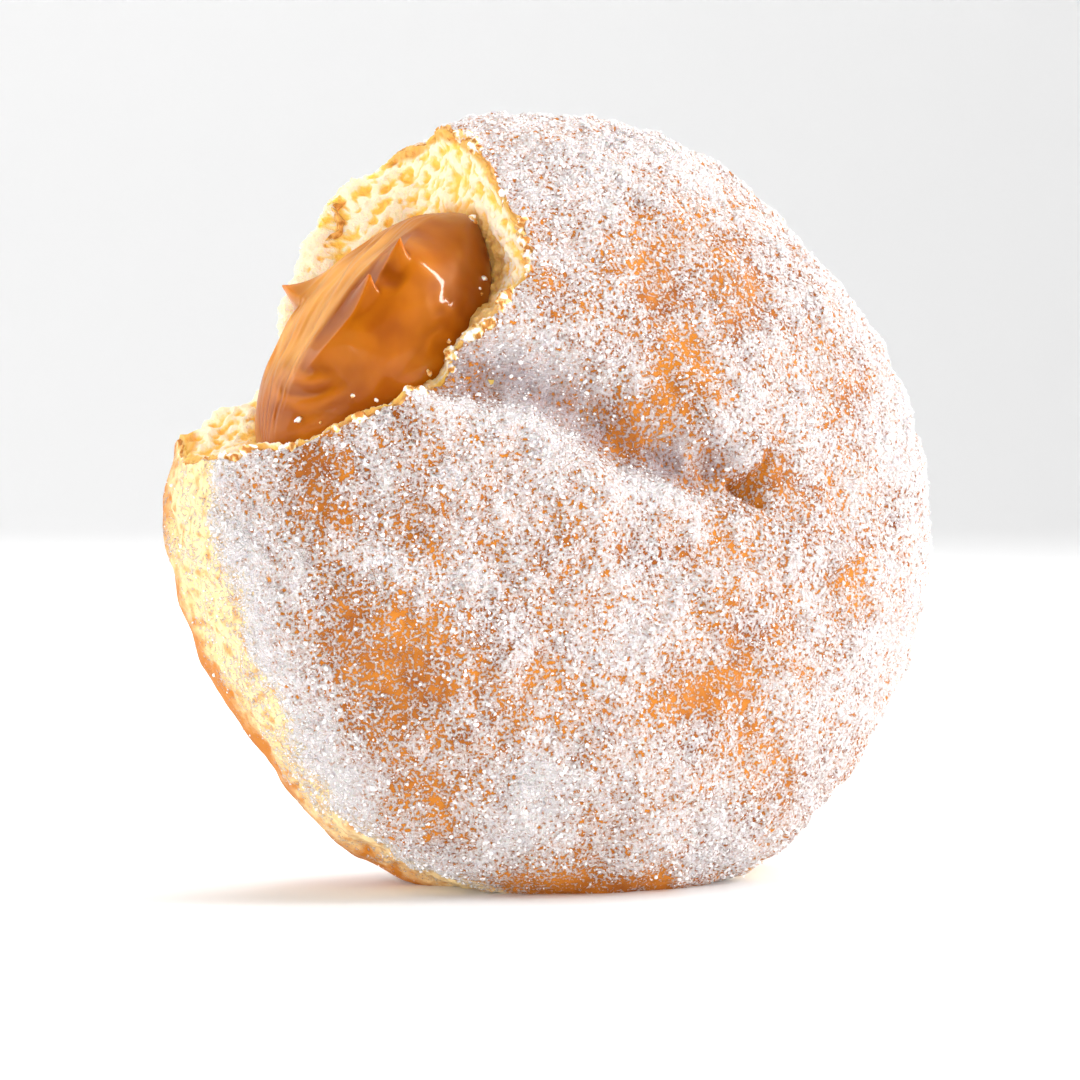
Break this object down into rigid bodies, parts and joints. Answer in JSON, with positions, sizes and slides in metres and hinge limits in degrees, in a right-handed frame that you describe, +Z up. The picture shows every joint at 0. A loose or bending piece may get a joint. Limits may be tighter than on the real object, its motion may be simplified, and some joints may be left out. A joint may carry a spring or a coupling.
{
  "type": "milk caramel filled doughnut",
  "caption": "Sugar-dusted round filled doughnut standing on its rim, with a bite out of one side that shows pale crumb and a mound of caramel cream filling.",
  "frame": {"origin": "bottom centre of the bounding box, on the surface that the doughnut stands on", "axes": "+Z up, -Y towards the side of the front face that the bite and crease show on, +Y through the doughnut's thickness to its back, +X to the right seen from the front; the doughnut leans back by 12 degrees"},
  "size_m": [0.0878, 0.0489, 0.0849],
  "materials": {
    "sugared_dough": "fried yeast dough, golden brown crust under a heavy dusting of powdered sugar, pale yellow porous crumb at the bite",
    "caramel_filling": "thick glossy milk caramel cream, smooth, with folds and drawn-up points"
  },
  "bodies": {
    "root": {"dough": "sugared_dough", "filling": "caramel_filling"}
  },
  "joints": []
}
